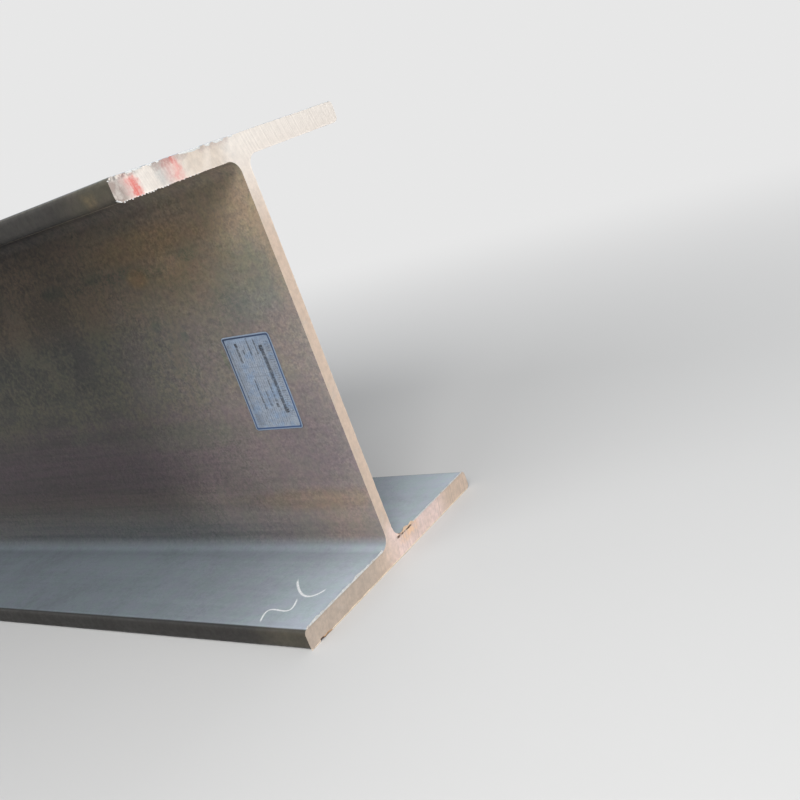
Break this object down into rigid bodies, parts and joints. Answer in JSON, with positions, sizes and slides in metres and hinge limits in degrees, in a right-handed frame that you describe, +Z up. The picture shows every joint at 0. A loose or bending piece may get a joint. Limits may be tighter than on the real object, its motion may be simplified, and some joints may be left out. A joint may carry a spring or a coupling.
{
  "type": "steel i-beam",
  "caption": "Hot-rolled wide-flange steel beam with parallel flanges, filleted roots and square sawn ends, and a small paper label on the web near one end.",
  "frame": {"origin": "middle of the bottom flange's underside, halfway along the beam", "axes": "+X along the beam towards its labelled end, +Y square to the web and away from its labelled side, +Z up through the web to the top flange"},
  "size_m": [6, 0.302, 0.446],
  "materials": {
    "rolled_steel": "dull mill scale with dusty and lightly rusted patches, sawn end faces with flash rust",
    "label_paper": "printed paper, pale blue-white with a blue border"
  },
  "bodies": {
    "root": {"i_beam": "rolled_steel", "web_label": "label_paper"}
  },
  "joints": []
}
